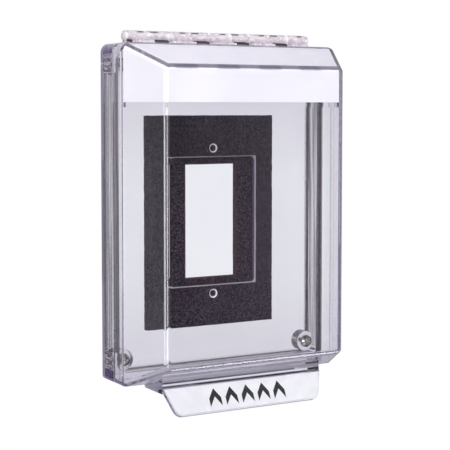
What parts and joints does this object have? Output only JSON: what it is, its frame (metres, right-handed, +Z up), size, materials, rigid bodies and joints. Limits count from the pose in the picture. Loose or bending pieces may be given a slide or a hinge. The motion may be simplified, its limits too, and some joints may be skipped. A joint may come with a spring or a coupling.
{
  "type": "thermostat lock box",
  "caption": "Clear wall box with a base frame, gasketed back plate and top-hinged clear lift cover that guards a thermostat or switch.",
  "frame": {"origin": "on the wall plane, midway between the two wall-box screw holes", "axes": "+X right as seen from the front, +Y into the wall, +Z up; the cover faces -Y"},
  "size_m": [0.136, 0.0562, 0.207],
  "materials": {
    "foam": "matte",
    "clear_sheet": "gloss",
    "clear_moulding": "gloss",
    "screw_steel": "polished",
    "pin_steel": "satin",
    "clear_cover": "gloss",
    "white_liner": "satin",
    "clear_tab": "gloss",
    "label_film": "satin"
  },
  "bodies": {
    "base": {"wall_gasket": "foam", "back_plate": "clear_sheet", "base_frame": "clear_moulding", "frame_screws": "screw_steel", "hinge_pin": "pin_steel"},
    "cover": {"cover_dome": "clear_cover", "hood_liner": "white_liner", "lift_tab": "clear_tab", "lift_label": "label_film"}
  },
  "joints": [
    {"name": "cover_hinge", "type": "hinge", "parent": "base", "child": "cover", "pos_m": [0, -0.0125, 0.1034], "axis": [-1, 0, 0], "range_deg": [0, 120]}
  ]
}
